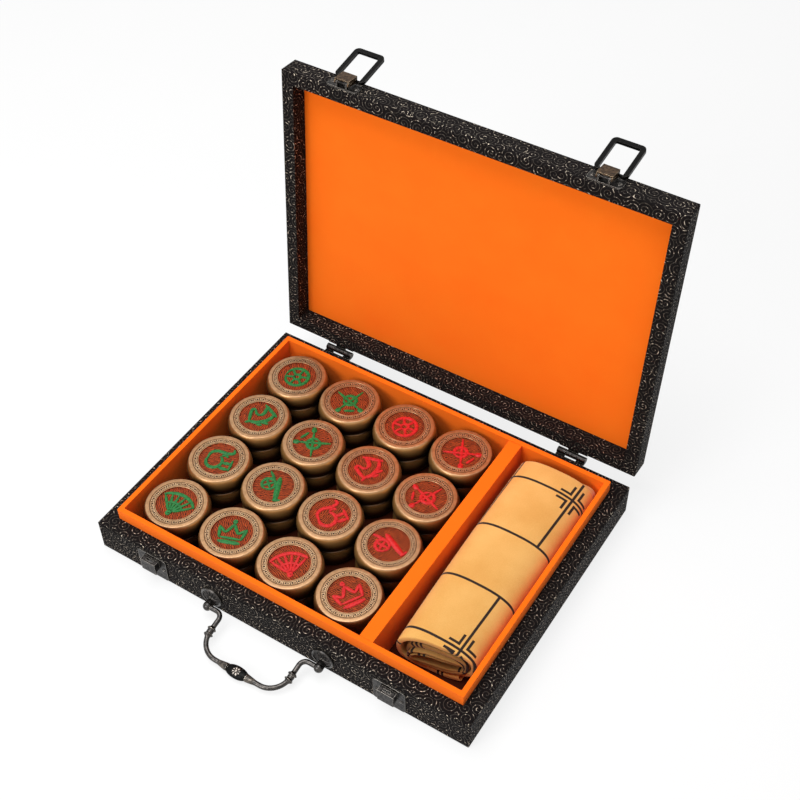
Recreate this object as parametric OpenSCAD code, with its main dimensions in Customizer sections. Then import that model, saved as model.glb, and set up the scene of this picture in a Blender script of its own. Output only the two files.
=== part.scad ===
// Boxed board-game set: hinged case, latches, drop handle, rolled board and 32 playing pieces.
// Millimetres, +Z up. The origin is the middle of the case's underside, +Y points to the hinges.

/* [Playing pieces] */
// Widest diameter of a piece, at half its height
piece_d = 40; // [34:0.5:46]
// Thickness of a piece
piece_h = 12.2; // [10:0.1:15]
// How far a piece's side swells past its faces
piece_swell = 1.7; // [0.8:0.1:2.4]
// Width of the plain rim round a face
piece_rim_w = 2.4; // [1.5:0.1:3.5]
// Width of the patterned band inside the rim
piece_band_w = 2.9; // [1.5:0.1:3.5]
// Width of the thin ring round the medallion
piece_ring_w = 0.7; // [0.4:0.1:1.2]
// Depth of the patterned band below the rim
piece_band_sink = 0.3; // [0.1:0.05:0.6]
// Depth of the medallion below the rim
piece_medal_sink = 0.9; // [0.5:0.1:1.5]
// Depth of the hollow under a piece
piece_foot_sink = 0.8; // [0.4:0.1:1.5]

/* [Layout] */
// Gap between neighbouring pieces
piece_gap = 0.6; // [0.4:0.1:2]
// Room between the outer pieces and the tray walls
piece_room = 1.1; // [0.5:0.1:4]

/* [Board roll] */
// Width of the rolled board
roll_w = 49; // [44:0.5:60]
// Room on each side of the roll
roll_room = 3; // [1:0.5:8]
// Room in front of the roll
roll_front_room = 11.5; // [2:0.5:30]
// Room behind the roll
roll_back_room = 6; // [2:0.5:30]
// Room between the roll and the closed lid's lining
roll_top_room = 2.5; // [1:0.5:6]
// Gap between the turns of the roll
roll_gap = 0.6; // [0.45:0.05:0.9]
// Height of the hollow inside the roll
roll_core_h = 4; // [3:0.5:8]

/* [Case] */
// Width of the wrapped rim outside the lip
rim_w = 9.2; // [7:0.1:14]
// Thickness of the lined tray walls
tray_wall_t = 3; // [2:0.1:5]
// Thickness of the divider
divider_t = 8.6; // [4:0.1:14]
// Thickness of the bottom board
bottom_t = 1.6; // [1:0.1:4]
// Thickness of the lined tray floor
floor_t = 1; // [0.6:0.1:3]
// How far the lip stands above the top pieces
lip_over = 3.6; // [1:0.1:8]
// How far the lip stands above the base's rim
lip_h = 8; // [5:0.1:10]
// Radius of the wrapped edges
edge_r = 1.6; // [0.6:0.1:2.4]

/* [Lid] */
// Thickness of the lid's top board
lid_top_t = 2.4; // [1.2:0.1:5]
// Thickness of the lid's lining
lining_t = 1; // [0.6:0.1:3]
// Room between the lip and the lining of the closed lid
lid_head_room = 3; // [2.5:0.1:8]
// Room between the lip and the lid's rim
lid_rim_room = 0.8; // [0.5:0.1:2]
// Gap between the closed lid's rim and the base's rim
lid_gap = 0.2; // [0.1:0.05:0.6]
// How far the lid stands open, in degrees
lid_open = 94.5; // [80:0.5:100]

/* [Hinges] */
// Distance of a hinge's middle from the case's end
hinge_inset = 41; // [30:0.5:60]
// Width of a hinge
hinge_w = 19; // [14:0.5:28]
// Distance of the hinge pin behind the case
hinge_out = 3.6; // [3:0.1:5]
// Outside radius of a hinge knuckle
knuckle_r = 2; // [1.6:0.1:2.5]
// Width of the lid's middle knuckle
knuckle_mid_w = 7; // [5:0.5:9]
// Gap beside the middle knuckle
knuckle_gap = 0.3; // [0.2:0.05:0.6]
// Radius of a hinge pin
hinge_pin_r = 0.9; // [0.6:0.05:1.2]
// Thickness of a hinge leaf
leaf_t = 0.9; // [0.6:0.05:1.2]
// Height of a hinge leaf on the case
leaf_h = 10; // [8:0.5:12]

/* [Latches] */
// Distance of a latch's middle from the case's end
latch_inset = 45; // [30:0.5:60]
// How far the front fittings sit off the case's middle
front_shift = -4; // [-8:0.5:8]
// Width of a latch plate and of a catch plate
plate_w = 20.4; // [19.5:0.1:26]
// Thickness of the latch and catch plates
plate_t = 0.8; // [0.6:0.05:1]
// Height of a latch plate
plate_h = 8.4; // [8:0.1:10]
// Height of a latch plate above the lid's rim
plate_up = 0.6; // [0.4:0.1:3]
// Width of a lever
lever_w = 9.5; // [8.5:0.1:10.5]
// Distance of a lever's outer face from the case
lever_out = 5.6; // [5.4:0.1:6.5]
// Distance of a lever's pin from the case
lever_pin_out = 3.4; // [3.2:0.1:3.6]
// Height of a lever's pin above its plate's lower edge
lever_pin_up = 1.4; // [1.3:0.1:2]
// Radius of a lever's pin
lever_pin_r = 0.6; // [0.4:0.05:0.7]
// Distance from a lever's pin to its loop's pivot
lever_arm = 7; // [5:0.1:8]
// Radius of the loop's round ends
wire_r = 0.85; // [0.7:0.05:0.95]
// Width of the loop's flat strip
strip_w = 2.8; // [2:0.1:3.2]
// Thickness of the loop's flat strip
strip_t = 1.9; // [1.8:0.05:2]
// Distance between the middles of the loop's two legs
loop_w = 16.9; // [16.5:0.1:18]
// Distance of the loop's pivot from the case
loop_out = 2.7; // [2.5:0.1:2.9]
// Radius of the loop's outer corners
loop_bend_r = 3; // [1.6:0.1:4]
// How far the raised loop leans out, in degrees
loop_lean = 14; // [0:0.5:20]
// Width of a catch's hook
hook_w = 10.2; // [8:0.1:12]
// Height of a catch's hook
hook_h = 6.6; // [5.5:0.1:7.5]
// Height of a catch's hook above the underside
hook_up = 11.4; // [10:0.1:12.5]
// How far a hook stands out from the case
hook_out = 4.7; // [4.6:0.1:5.5]
// How far a hook's lip hangs down in front of the loop
hook_lip = 2.2; // [1:0.1:2.5]
// Distance of a catch plate from the case's underside
catch_foot_gap = 2.2; // [1.8:0.1:4]
// Distance of a catch plate from the base's rim
catch_rim_gap = 2.4; // [1.8:0.1:4]
// Radius of the corners of the latch and catch plates
plate_corner_r = 1.6; // [0.5:0.1:3]

/* [Handle] */
// Distance between the two eyes
eye_spacing = 76.4; // [66:0.1:90]
// Height of the eyes above the underside
eye_up = 8.1; // [7.5:0.1:10]
// Distance of the eyes from the case
eye_out = 5.2; // [5:0.1:7]
// Radius of an eye
eye_r = 2.8; // [2.5:0.1:3.2]
// Radius of the round plate behind an eye
rose_r = 7; // [5.5:0.1:8]
// Height of the round plate's middle above the eye
rose_up = 3.7; // [1:0.1:4]
// Thickness of the round plate
rose_t = 1.1; // [0.7:0.1:1.6]
// Distance between the handle's two arms
bail_w = 55.4; // [46:0.1:60]
// Distance from the eyes to the handle's bar
bail_depth = 24.3; // [20:0.1:32]
// Radius of the handle's rod
bail_rod_r = 1.5; // [1.2:0.05:1.8]
// Radius of the handle's bends beside the eyes
bail_neck_r = 4; // [2.5:0.1:5]
// Radius of the handle's lower bends
bail_bend_r = 12.5; // [6:0.1:14]
// Radius of the swell in the middle of the bar
boss_r = 3.3; // [2.6:0.1:3.8]
// Length of the swell
boss_len = 17; // [12:0.5:20]
// Length of the cup at each end of the swell
cup_len = 5; // [3:0.1:6]
// Radius of the cup's wide end
cup_r = 2.3; // [2:0.1:2.6]
// Radius of the bead on each arm
bead_r = 2.5; // [2:0.1:3]
// Length of the bead on each arm
bead_len = 5; // [3:0.1:6]

/* [Screws] */
// Radius of a screw's head
screw_head_r = 1.4; // [1:0.1:1.6]
// Height of a screw's head
screw_head_h = 0.45; // [0.3:0.05:0.5]
// Radius of a screw's shank
screw_r = 0.75; // [0.5:0.05:0.9]
// Length of a screw's shank
screw_len = 5; // [3:0.1:5.5]

/* [Hidden] */
$fn = 64;
// Radial clearance of the pins, and of the screws in their holes
pin_clear = 0.05;
// Clearance between moving sheet-metal faces
sheet_clear = 0.35;
// Gap under soft pieces and under the handle
seat_gap = 0.1;
// How far a cut runs past the face it opens
over = 1;
// How far joined shapes run into each other
weld = 0.2;

// The pieces lie in columns along X and rows along Y, in two layers
columns = 4;
rows = 4;
layers = 2;
pitch = piece_d + piece_gap;
grid_w = columns * piece_d + (columns - 1) * piece_gap;
grid_d = rows * piece_d + (rows - 1) * piece_gap;

// Sizes of the two trays, and of the case round them
tray_w = grid_w + 2 * piece_room;
tray_d = grid_d + 2 * piece_room;
board_tray_w = roll_w + 2 * roll_room;
pocket_w = tray_w + divider_t + board_tray_w + 2 * tray_wall_t;
pocket_d = tray_d + 2 * tray_wall_t;
case_w = pocket_w + 2 * rim_w;
case_d = pocket_d + 2 * rim_w;
floor_z = bottom_t + floor_t;
lip_z = floor_z + layers * piece_h + lip_over;
base_h = lip_z - lip_h;
front_y = -case_d / 2;
back_y = case_d / 2;

// Places across the two trays
tray_left = tray_wall_t - pocket_w / 2;
divider_left = tray_left + tray_w;
board_left = divider_left + divider_t;
tray_mid_x = tray_left + tray_w / 2;
roll_x = board_left + board_tray_w / 2;

// Sizes of the lid, drawn shut and then turned open about the hinge pins
lid_rim_w = rim_w - lid_rim_room;
lid_z = base_h + lid_gap;
lining_z = lip_z + lid_head_room;
lid_h = lining_z + lining_t + lid_top_t - lid_z;
hinge_y = back_y + hinge_out;
hinge_z = base_h + lid_gap / 2;

// The board is folded in three and rolled up in a flattened spiral, its free edge tucked under on the right
roll_turns = 4.5;
roll_steps = 36;
roll_start = 300;
// Below 1 the roll is fuller at its shoulders than an ellipse
roll_bulge_share = 0.77;
roll_seat_z = floor_z + seat_gap;
roll_h = lining_z - roll_top_room - roll_seat_z;
// The spiral is drawn larger than the roll, because it draws in before it comes to the underside and the top
wind_low = roll_wound(270);
wind_left = roll_wound(180);
wind_high = roll_wound(90);
wind_right = roll_wound(0);
wind_share = (wind_low + wind_high) / (2 * roll_turns);
spiral_h = (roll_h - wind_share * roll_core_h) / (1 - wind_share);
roll_pitch = (spiral_h - roll_core_h) / 2 / roll_turns;
spiral_w = roll_w + roll_pitch * (wind_left + wind_right);
roll_ply = roll_pitch - roll_gap;
roll_len = tray_d - roll_front_room - roll_back_room;

// Places of the latch parts, with the lid shut
plate_z = lid_z + plate_up;
lever_pin_z = plate_z + lever_pin_up;
loop_z = lever_pin_z + lever_arm;
ear_t = 0.8;
ear_r = 1;
cheek_t = 0.8;
cheek_r = 1.3;
lever_t = 0.8;
lever_toe = 0.45;
lever_heel = 1.2;
wire_clear = 0.08;
ear_mid = lever_w / 2 - cheek_t - sheet_clear - ear_t / 2;
// From the loop's pivot to the inner edge of its bar, and past the pivot
loop_len = loop_z - hook_up + sheet_clear;
loop_foot = 1.1;
loop_inner_r = 0.8;
loop_end = lever_w / 2 - cheek_t - weld;
hook_t = 0.75;
catch_h = base_h - catch_foot_gap - catch_rim_gap;
catch_mid_z = catch_foot_gap + catch_h / 2;
slot_w = 4.6;
slot_t = 1.3;

// Screw places on the plates and the hinge leaves
screw_edge = 1;
plate_screw_x = plate_w / 2 - screw_head_r - screw_edge;
plate_screw_z = plate_z + plate_h / 2;
leaf_screw_x = hinge_w / 2 - screw_head_r - screw_edge;
leaf_screw_drop = leaf_h - screw_head_r - screw_edge;

// Places of the handle: it hangs out and down until its swell lies on the table
eye_y = front_y - eye_out;
bail_drop = asin((eye_up - boss_r - seat_gap) / bail_depth);
bail_stub_share = 0.25;
bead_place_share = 0.5;
arm_x = bail_w / 2;
rose_rim_r = 0.7;

// Names of the playing pieces in each layer, four to a column
LOWER = [
    "advisor_2", "elephant_2", "horse_2", "chariot_2", "cannon_2", "soldier_3", "soldier_4", "soldier_5"
];
UPPER = [
    "advisor_1", "elephant_1", "horse_1", "chariot_1", "general", "cannon_1", "soldier_1", "soldier_2"
];
TEAMS = ["green", "red"];
LAYERS = [LOWER, UPPER];
team_columns = columns / 2;
// Each entry is a name, a column, a row and a layer, counted from the front left
PIECES = [
    for (team = [0 : 1]) for (layer = [0 : layers - 1]) for (i = [0 : rows * team_columns - 1])
        [str(TEAMS[team], "_", LAYERS[layer][i]), team * team_columns + floor(i / rows), i % rows, layer]
];

SIDES = ["left", "right"];
SIDED = [
    "hinge_leaf_base", "hinge_leaf_lid", "catch", "handle_mount", "latch_plate", "latch_lever", "latch_loop"
];

BROCADE = "#1d1a1a";
LINING = "#ff7a1f";
BRONZE = "#57514c";
BRASS = "#b98c55";
LEVER = "#8a6a48";
SUEDE = "#f0bc6c";

// Helpers

// Middle of a fitting on its side of the case, -1 left and 1 right
function latch_x(side) = front_shift + side * (case_w / 2 - latch_inset);
function eye_x(side) = front_shift + side * eye_spacing / 2;
function hinge_x(side) = side * (case_w / 2 - hinge_inset);

// A rectangle with round corners, centred
module round_rect(w, d, r) {
    square([w - 2 * r, d], center = true);
    square([w, d - 2 * r], center = true);
    for (x = [-1, 1], y = [-1, 1])
        translate([x * (w / 2 - r), y * (d / 2 - r)]) circle(r);
}

// A block with all its edges rounded, standing on z = 0
module soft_block(w, d, h, r) {
    translate([0, 0, h / 2]) intersection() {
        linear_extrude(h, center = true) round_rect(w, d, r);
        rotate([90, 0, 0]) linear_extrude(d, center = true) round_rect(w, h, r);
        rotate([90, 0, 90]) linear_extrude(w, center = true) round_rect(d, h, r);
    }
}

// A board centred on X and Y, with its underside at z
module board(w, d, t, z) {
    translate([-w / 2, -d / 2, z]) cube([w, d, t]);
}

// A rod of radius r along X, centred
module rod_x(r, len) {
    rotate([0, 90, 0]) cylinder(r = r, h = len, center = true);
}

// A rod along -Y, starting at y = 0
module rod_out(r, len) {
    rotate([90, 0, 0]) cylinder(r = r, h = len);
}

// A spindle along X: an arc of the given length and greatest radius, turned about its chord
module spindle_x(r, len) {
    arc_r = (len * len / 4 + r * r) / (2 * r);
    rotate([0, 90, 0]) rotate_extrude() intersection() {
        translate([r - arc_r, 0]) circle(arc_r);
        translate([0, -len / 2]) square([r, len]);
    }
}

// A quarter bend of rod in the XY plane, from the angle start on, round the origin
module bend(bend_r, rod_r, start) {
    rotate([0, 0, start]) rotate_extrude(angle = 90) translate([bend_r, 0]) circle(rod_r);
}

// Turns a shape drawn on the shut lid into the open position
module opened() {
    translate([0, hinge_y, hinge_z]) rotate([-lid_open, 0, 0]) translate([0, -hinge_y, -hinge_z]) children();
}

// A screw through a fitting's face at the origin, its head towards -Y
module screw(grip) {
    rod_out(screw_head_r, screw_head_h);
    translate([0, screw_len + grip, 0]) rod_out(screw_r, screw_len + grip);
}

// The hole that a screw needs, from the fitting's face into the wood
module screw_hole(grip) {
    translate([0, screw_len + grip, 0]) rod_out(screw_r + pin_clear, screw_len + grip + over);
}

// Places its child at each screw of the two catches
module at_catch_screws() {
    for (side = [-1, 1], x = [-1, 1])
        translate([latch_x(side) + x * plate_screw_x, front_y - plate_t, catch_mid_z]) children();
}

// Places its child at each screw of the two latch plates
module at_latch_screws() {
    for (side = [-1, 1], x = [-1, 1])
        translate([latch_x(side) + x * plate_screw_x, front_y - plate_t, plate_screw_z]) children();
}

// Places its child at each screw of the two hinges, up is 1 on the lid and -1 on the base
module at_hinge_screws(up) {
    for (side = [-1, 1], x = [-1, 1])
        translate([hinge_x(side) + x * leaf_screw_x, back_y + leaf_t, hinge_z + up * leaf_screw_drop])
            rotate([0, 0, 180]) children();
}

// Case base

module base_frame() {
    color(BROCADE) difference() {
        soft_block(case_w, case_d, base_h, edge_r);
        board(pocket_w, pocket_d, base_h + 2 * over, -over);
        at_catch_screws() screw_hole(plate_t);
        at_hinge_screws(-1) screw_hole(leaf_t);
    }
}

module base_bottom() {
    color(BROCADE) board(pocket_w, pocket_d, bottom_t, 0);
}

module tray_floor() {
    color(LINING) board(pocket_w, pocket_d, floor_t, bottom_t);
}

module tray_frame() {
    color(LINING) difference() {
        board(pocket_w, pocket_d, lip_z - floor_z, floor_z);
        board(pocket_w - 2 * tray_wall_t, tray_d, lip_z, floor_z - over);
    }
}

module divider() {
    color(LINING) translate([divider_left, -tray_d / 2, floor_z]) cube([divider_t, tray_d, lip_z - floor_z]);
}

module base_screws() {
    color(BRONZE) {
        at_catch_screws() screw(plate_t);
        at_hinge_screws(-1) screw(leaf_t);
    }
}

// Hinges

// One leaf of a hinge: a plate on the case, a strip out to the pin and its knuckles; up is 1 on the lid
module hinge_leaf(side, up) {
    strip_z = up > 0 ? knuckle_r - leaf_t : -knuckle_r;
    plate_low = up > 0 ? strip_z : -leaf_h;
    end_w = (hinge_w - knuckle_mid_w) / 2 - knuckle_gap;
    end_x = (hinge_w - end_w) / 2;
    wide = up > 0 ? [[0, knuckle_mid_w]] : [[-end_x, end_w], [end_x, end_w]];
    color(BRONZE) translate([hinge_x(side), hinge_y, hinge_z]) difference() {
        union() {
            translate([-hinge_w / 2, -hinge_out, plate_low])
                cube([hinge_w, leaf_t, leaf_h - knuckle_r + leaf_t]);
            for (k = wide) translate([k[0], 0, 0]) {
                rod_x(knuckle_r, k[1]);
                translate([-k[1] / 2, -hinge_out, strip_z]) cube([k[1], hinge_out, leaf_t]);
            }
        }
        rod_x(hinge_pin_r + pin_clear, hinge_w + 2 * over);
        for (x = [-1, 1])
            translate([x * leaf_screw_x, leaf_t - hinge_out, up * leaf_screw_drop])
                rotate([0, 0, 180]) screw_hole(leaf_t);
    }
}

module hinge_leaf_base(side) {
    hinge_leaf(side, -1);
}

module hinge_leaf_lid(side) {
    opened() hinge_leaf(side, 1);
}

module hinge_pins() {
    color(BRONZE) for (side = [-1, 1])
        translate([hinge_x(side), hinge_y, hinge_z]) rod_x(hinge_pin_r, hinge_w);
}

// Latches

// A plate with round corners, standing against the case with its middle at the origin
module fitting_plate(h) {
    rotate([90, 0, 0]) linear_extrude(plate_t) round_rect(plate_w, h, plate_corner_r);
}

// A catch on the base: a plate with a hollow hook, open below, whose front lip holds the loop's bar
module catch(side) {
    color(BRONZE) translate([latch_x(side), front_y, 0]) difference() {
        union() {
            translate([0, 0, catch_mid_z]) fitting_plate(catch_h);
            translate([-hook_w / 2, -hook_out, hook_up]) cube([hook_w, hook_out, hook_h]);
            translate([-hook_w / 2, -hook_out, hook_up - hook_lip]) cube([hook_w, hook_t, hook_lip]);
        }
        translate([hook_t - hook_w / 2, hook_t - hook_out, hook_up - over])
            cube([hook_w - 2 * hook_t, hook_out - hook_t - plate_t, hook_h - hook_t + over]);
        translate([-slot_w / 2, -(hook_out + plate_t + slot_t) / 2, hook_up])
            cube([slot_w, slot_t, hook_h + over]);
        for (x = [-1, 1])
            translate([x * plate_screw_x, -plate_t, catch_mid_z]) screw_hole(plate_t);
    }
}

// A plate on the lid with two ears for the lever's pin
module latch_plate(side) {
    opened() color(BRONZE) translate([latch_x(side), front_y, 0]) difference() {
        union() {
            translate([0, 0, plate_screw_z]) fitting_plate(plate_h);
            for (x = [-1, 1]) translate([x * ear_mid, 0, lever_pin_z]) {
                translate([0, -lever_pin_out, 0]) rod_x(ear_r, ear_t);
                translate([-ear_t / 2, -lever_pin_out, -ear_r]) cube([ear_t, lever_pin_out, 2 * ear_r]);
            }
        }
        translate([0, -lever_pin_out, lever_pin_z]) rod_x(lever_pin_r + pin_clear, lever_w + 2 * over);
        for (x = [-1, 1])
            translate([x * plate_screw_x, -plate_t, plate_screw_z]) screw_hole(plate_t);
    }
}

module latch_pins() {
    opened() color(BRONZE) for (side = [-1, 1])
        translate([latch_x(side), front_y - lever_pin_out, lever_pin_z]) rod_x(lever_pin_r, lever_w);
}

// One cheek of a lever, from the pin's eye to the loop's eye, drawn in depth and height
module cheek_outline() {
    translate([-lever_pin_out, 0]) circle(cheek_r);
    translate([-loop_out, lever_arm]) circle(cheek_r);
    polygon([
        [-lever_out, -lever_toe],
        [-lever_out, lever_arm + lever_heel],
        [-lever_out + lever_t, lever_arm + lever_heel],
        [-loop_out, lever_arm + cheek_r],
        [cheek_r - loop_out, lever_arm],
        [cheek_r - lever_pin_out, 0],
        [-lever_pin_out, -lever_toe]
    ]);
}

// A lever: a face plate folded back into two cheeks
module latch_lever(side) {
    opened() color(LEVER) translate([latch_x(side), front_y, lever_pin_z]) difference() {
        union() {
            for (x = [-1, 1]) translate([x * (lever_w - cheek_t) / 2, 0, 0])
                rotate([90, 0, 90]) linear_extrude(cheek_t, center = true) cheek_outline();
            translate([-lever_w / 2, -lever_out, -lever_toe])
                cube([lever_w, lever_t, lever_toe + lever_arm + lever_heel]);
        }
        translate([0, -lever_pin_out, 0]) rod_x(lever_pin_r + pin_clear, lever_w + 2 * over);
        translate([0, -loop_out, lever_arm]) rod_x(wire_r + wire_clear, lever_w + 2 * over);
    }
}

// The loop's flat strip, drawn up from its pivot at the origin: a frame with round corners, open at its foot
module loop_outline() {
    frame_h = loop_foot + loop_len + strip_w;
    difference() {
        translate([0, frame_h / 2 - loop_foot]) round_rect(loop_w + strip_w, frame_h, loop_bend_r);
        translate([0, loop_len / 2 - loop_foot])
            round_rect(loop_w - strip_w, loop_len + 2 * loop_foot, loop_inner_r);
    }
}

// A loop: a flat strip, with two round ends that turn in the lever's cheeks
module latch_loop(side) {
    end_len = (loop_w - strip_w) / 2 - loop_end + weld;
    opened() color(BRONZE) translate([latch_x(side), front_y - loop_out, loop_z]) rotate([loop_lean, 0, 0]) {
        rotate([90, 0, 0]) linear_extrude(strip_t, center = true) loop_outline();
        for (x = [-1, 1]) translate([x * (loop_end + end_len / 2), 0, 0]) rod_x(wire_r, end_len);
    }
}

// Handle

// The right mount: a round plate with a raised rim, and a ball with the eye that holds the handle's end
module right_mount() {
    difference() {
        union() {
            translate([0, 0, rose_up]) {
                rod_out(rose_r, rose_t);
                translate([0, -rose_t, 0]) rotate([90, 0, 0])
                    rotate_extrude() translate([rose_r - rose_rim_r, 0]) circle(rose_rim_r);
            }
            rod_out(eye_r - weld, eye_out);
            translate([0, -eye_out, 0]) sphere(eye_r);
        }
        translate([-(eye_r + over) / 2, -eye_out, 0]) rod_x(bail_rod_r + pin_clear, eye_r + over);
    }
}

module handle_mount(side) {
    color(BRONZE) translate([eye_x(side), front_y, eye_up]) {
        if (side > 0) right_mount();
        else mirror([1, 0, 0]) right_mount();
    }
}

// Half of the handle, drawn flat: its end in the eye on X, its bar towards -Y
module half_bail() {
    stub_end = eye_spacing / 2 - eye_r * bail_stub_share;
    neck_x = arm_x + bail_neck_r;
    bar_x = arm_x - bail_bend_r;
    translate([neck_x, 0, 0]) rotate([0, 90, 0]) cylinder(r = bail_rod_r, h = stub_end - neck_x);
    translate([neck_x, -bail_neck_r, 0]) bend(bail_neck_r, bail_rod_r, 90);
    translate([arm_x, -bail_neck_r, 0]) rod_out(bail_rod_r, bail_depth - bail_neck_r - bail_bend_r);
    translate([bar_x, bail_bend_r - bail_depth, 0]) bend(bail_bend_r, bail_rod_r, -90);
    translate([0, -bail_depth, 0]) rotate([0, 90, 0]) cylinder(r = bail_rod_r, h = bar_x);
    translate([boss_len / 2 - over, -bail_depth, 0]) rotate([0, 90, 0])
        cylinder(r1 = cup_r, r2 = bail_rod_r + weld, h = cup_len);
    translate([arm_x, -bail_depth * bead_place_share, 0]) rotate([0, 0, 90]) spindle_x(bead_r, bead_len);
}

module handle_bail() {
    color(BRONZE) translate([front_shift, eye_y, eye_up]) rotate([bail_drop, 0, 0]) {
        half_bail();
        mirror([1, 0, 0]) half_bail();
        translate([0, -bail_depth, 0]) spindle_x(boss_r, boss_len);
    }
}

// Lid

module lid_frame() {
    opened() color(BROCADE) difference() {
        translate([0, 0, lid_z]) soft_block(case_w, case_d, lid_h, edge_r);
        board(case_w - 2 * lid_rim_w, case_d - 2 * lid_rim_w, lid_h + 2 * over, lid_z - over);
        at_latch_screws() screw_hole(plate_t);
        at_hinge_screws(1) screw_hole(leaf_t);
    }
}

module lid_top() {
    opened() color(BROCADE)
        board(case_w - 2 * lid_rim_w, case_d - 2 * lid_rim_w, lid_top_t, lining_z + lining_t);
}

module lid_lining() {
    opened() color(LINING) board(case_w - 2 * lid_rim_w, case_d - 2 * lid_rim_w, lining_t, lining_z);
}

module lid_screws() {
    opened() color(BRONZE) {
        at_latch_screws() screw(plate_t);
        at_hinge_screws(1) screw(leaf_t);
    }
}

// Board roll

// How many turns are wound when the spiral comes to a direction
function roll_wound(angle) = (roll_start - angle) / 360;

// A sine or cosine, pushed outwards for the roll's full shoulders
function fuller(value) = sign(value) * pow(abs(value), roll_bulge_share);

// A point of the spiral at a turning angle, a distance inside the roll's outer skin
function roll_point(turn, inside) =
    let (shrink = roll_pitch * turn / 360 + inside, angle = roll_start - turn)
        [(spiral_w / 2 - shrink) * fuller(cos(angle)), (spiral_h / 2 - shrink) * fuller(sin(angle))];

module board_roll() {
    last = roll_turns * roll_steps;
    skin = [for (i = [0 : last]) roll_point(i * 360 / roll_steps, 0)];
    back = [for (i = [0 : last]) roll_point((last - i) * 360 / roll_steps, roll_ply)];
    middle_x = roll_x + roll_pitch * (wind_right - wind_left) / 2;
    middle_z = roll_seat_z + spiral_h / 2 - roll_pitch * wind_low;
    color(SUEDE) translate([middle_x, tray_d / 2 - roll_back_room, middle_z])
        rotate([90, 0, 0]) linear_extrude(roll_len) polygon(concat(skin, back));
}

// Playing pieces

// The turned outline of a piece: swelled side, flat rims, sunk band and medallion, hollow foot
module piece_outline() {
    r = piece_d / 2;
    face_r = r - piece_swell;
    band_r = face_r - piece_rim_w;
    ring_r = band_r - piece_band_w;
    medal_r = ring_r - piece_ring_w;
    arc_r = (piece_h * piece_h / 4 + piece_swell * piece_swell) / (2 * piece_swell);
    difference() {
        union() {
            square([face_r, piece_h]);
            intersection() {
                translate([r - arc_r, piece_h / 2]) circle(arc_r);
                square([r, piece_h]);
            }
        }
        translate([ring_r, piece_h - piece_band_sink]) square([band_r - ring_r, piece_band_sink + over]);
        translate([0, piece_h - piece_medal_sink]) square([medal_r, piece_medal_sink + over]);
        translate([0, -over]) square([ring_r, piece_foot_sink + over]);
    }
}

module playing_piece(column, row, layer) {
    color(BRASS)
        translate([
            tray_mid_x + (column - (columns - 1) / 2) * pitch,
            (row - (rows - 1) / 2) * pitch,
            floor_z + layer * piece_h
        ])
        rotate_extrude() piece_outline();
}

base_frame();
base_bottom();
tray_floor();
tray_frame();
divider();
hinge_pins();
base_screws();
handle_bail();
lid_frame();
lid_top();
lid_lining();
latch_pins();
lid_screws();
board_roll();
for (i = [0, 1]) {
    side = 2 * i - 1;
    hinge_leaf_base(side);
    hinge_leaf_lid(side);
    catch(side);
    handle_mount(side);
    latch_plate(side);
    latch_lever(side);
    latch_loop(side);
}
for (piece = PIECES)
    playing_piece(piece[1], piece[2], piece[3]);
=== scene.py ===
"""Looks of a boxed board game: wrapped case, hardware, turned pieces and a rolled soft board."""
import math

import bmesh
import bpy
from mathutils import Matrix, Vector


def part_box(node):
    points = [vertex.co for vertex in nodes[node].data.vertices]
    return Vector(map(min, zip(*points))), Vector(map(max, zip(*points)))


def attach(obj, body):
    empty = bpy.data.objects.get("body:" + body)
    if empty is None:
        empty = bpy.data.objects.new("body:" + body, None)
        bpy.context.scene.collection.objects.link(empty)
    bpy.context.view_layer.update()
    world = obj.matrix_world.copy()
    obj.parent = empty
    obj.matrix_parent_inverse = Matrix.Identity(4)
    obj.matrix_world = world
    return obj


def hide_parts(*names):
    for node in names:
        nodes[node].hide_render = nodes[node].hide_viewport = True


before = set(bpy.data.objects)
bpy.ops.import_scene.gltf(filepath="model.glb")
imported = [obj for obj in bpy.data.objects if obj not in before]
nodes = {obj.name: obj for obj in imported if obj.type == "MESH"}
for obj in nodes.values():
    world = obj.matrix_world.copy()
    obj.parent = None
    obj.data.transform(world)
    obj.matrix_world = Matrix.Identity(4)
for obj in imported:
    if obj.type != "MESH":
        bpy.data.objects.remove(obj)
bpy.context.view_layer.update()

MM = 0.001
TAU = 2 * math.pi

# Case, in millimetres as in the part's source
CASE_W = 252.0
CASE_D = 188.4
BASE_H = 22.6
LID_OPEN = math.radians(94.5)
HINGE_OUT = 3.6
HINGE_UP = 0.1
HINGE_Y = CASE_D / 2 + HINGE_OUT
HINGE_Z = BASE_H + HINGE_UP
FRONT_Y = -CASE_D / 2
BACK_Y = CASE_D / 2
FRONT_SHIFT = -4.0
LATCH_INSET = 45
HINGE_INSET = 41
LATCH_X = (FRONT_SHIFT - CASE_W / 2 + LATCH_INSET, FRONT_SHIFT + CASE_W / 2 - LATCH_INSET)
HINGE_X = (HINGE_INSET - CASE_W / 2, CASE_W / 2 - HINGE_INSET)

# Screws
SCREW_R = 1.4
SCREW_H = 0.45
PLATE_T = 0.8
PLATE_SCREW_X = 7.8
CATCH_SCREW_Z = 11.2
LATCH_SCREW_Z = 27.6
LEAF_T = 0.9
LEAF_SCREW_X = 7.1
LEAF_SCREW_DROP = 7.6

# Handle
EYE_X = 38.2
EYE_OUT = 5.2
EYE_UP = 8.1
ROSE_R = 7.0
ROSE_UP = 3.7
ROSE_T = 1.1
ARM_X = 27.7
BAIL_DEPTH = 24.3
BAIL_NECK_R = 4.0
BAIL_BEND_R = 12.5
ROD_R = 1.5
BOSS_R = 3.3
BOSS_CLEAR = 0.1
BAIL_DROP = math.asin((EYE_UP - BOSS_R - BOSS_CLEAR) / BAIL_DEPTH)
ROD_SLOT, BOSS_SLOT, FLOWER_SLOT, CUP_SLOT = range(4)

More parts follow.
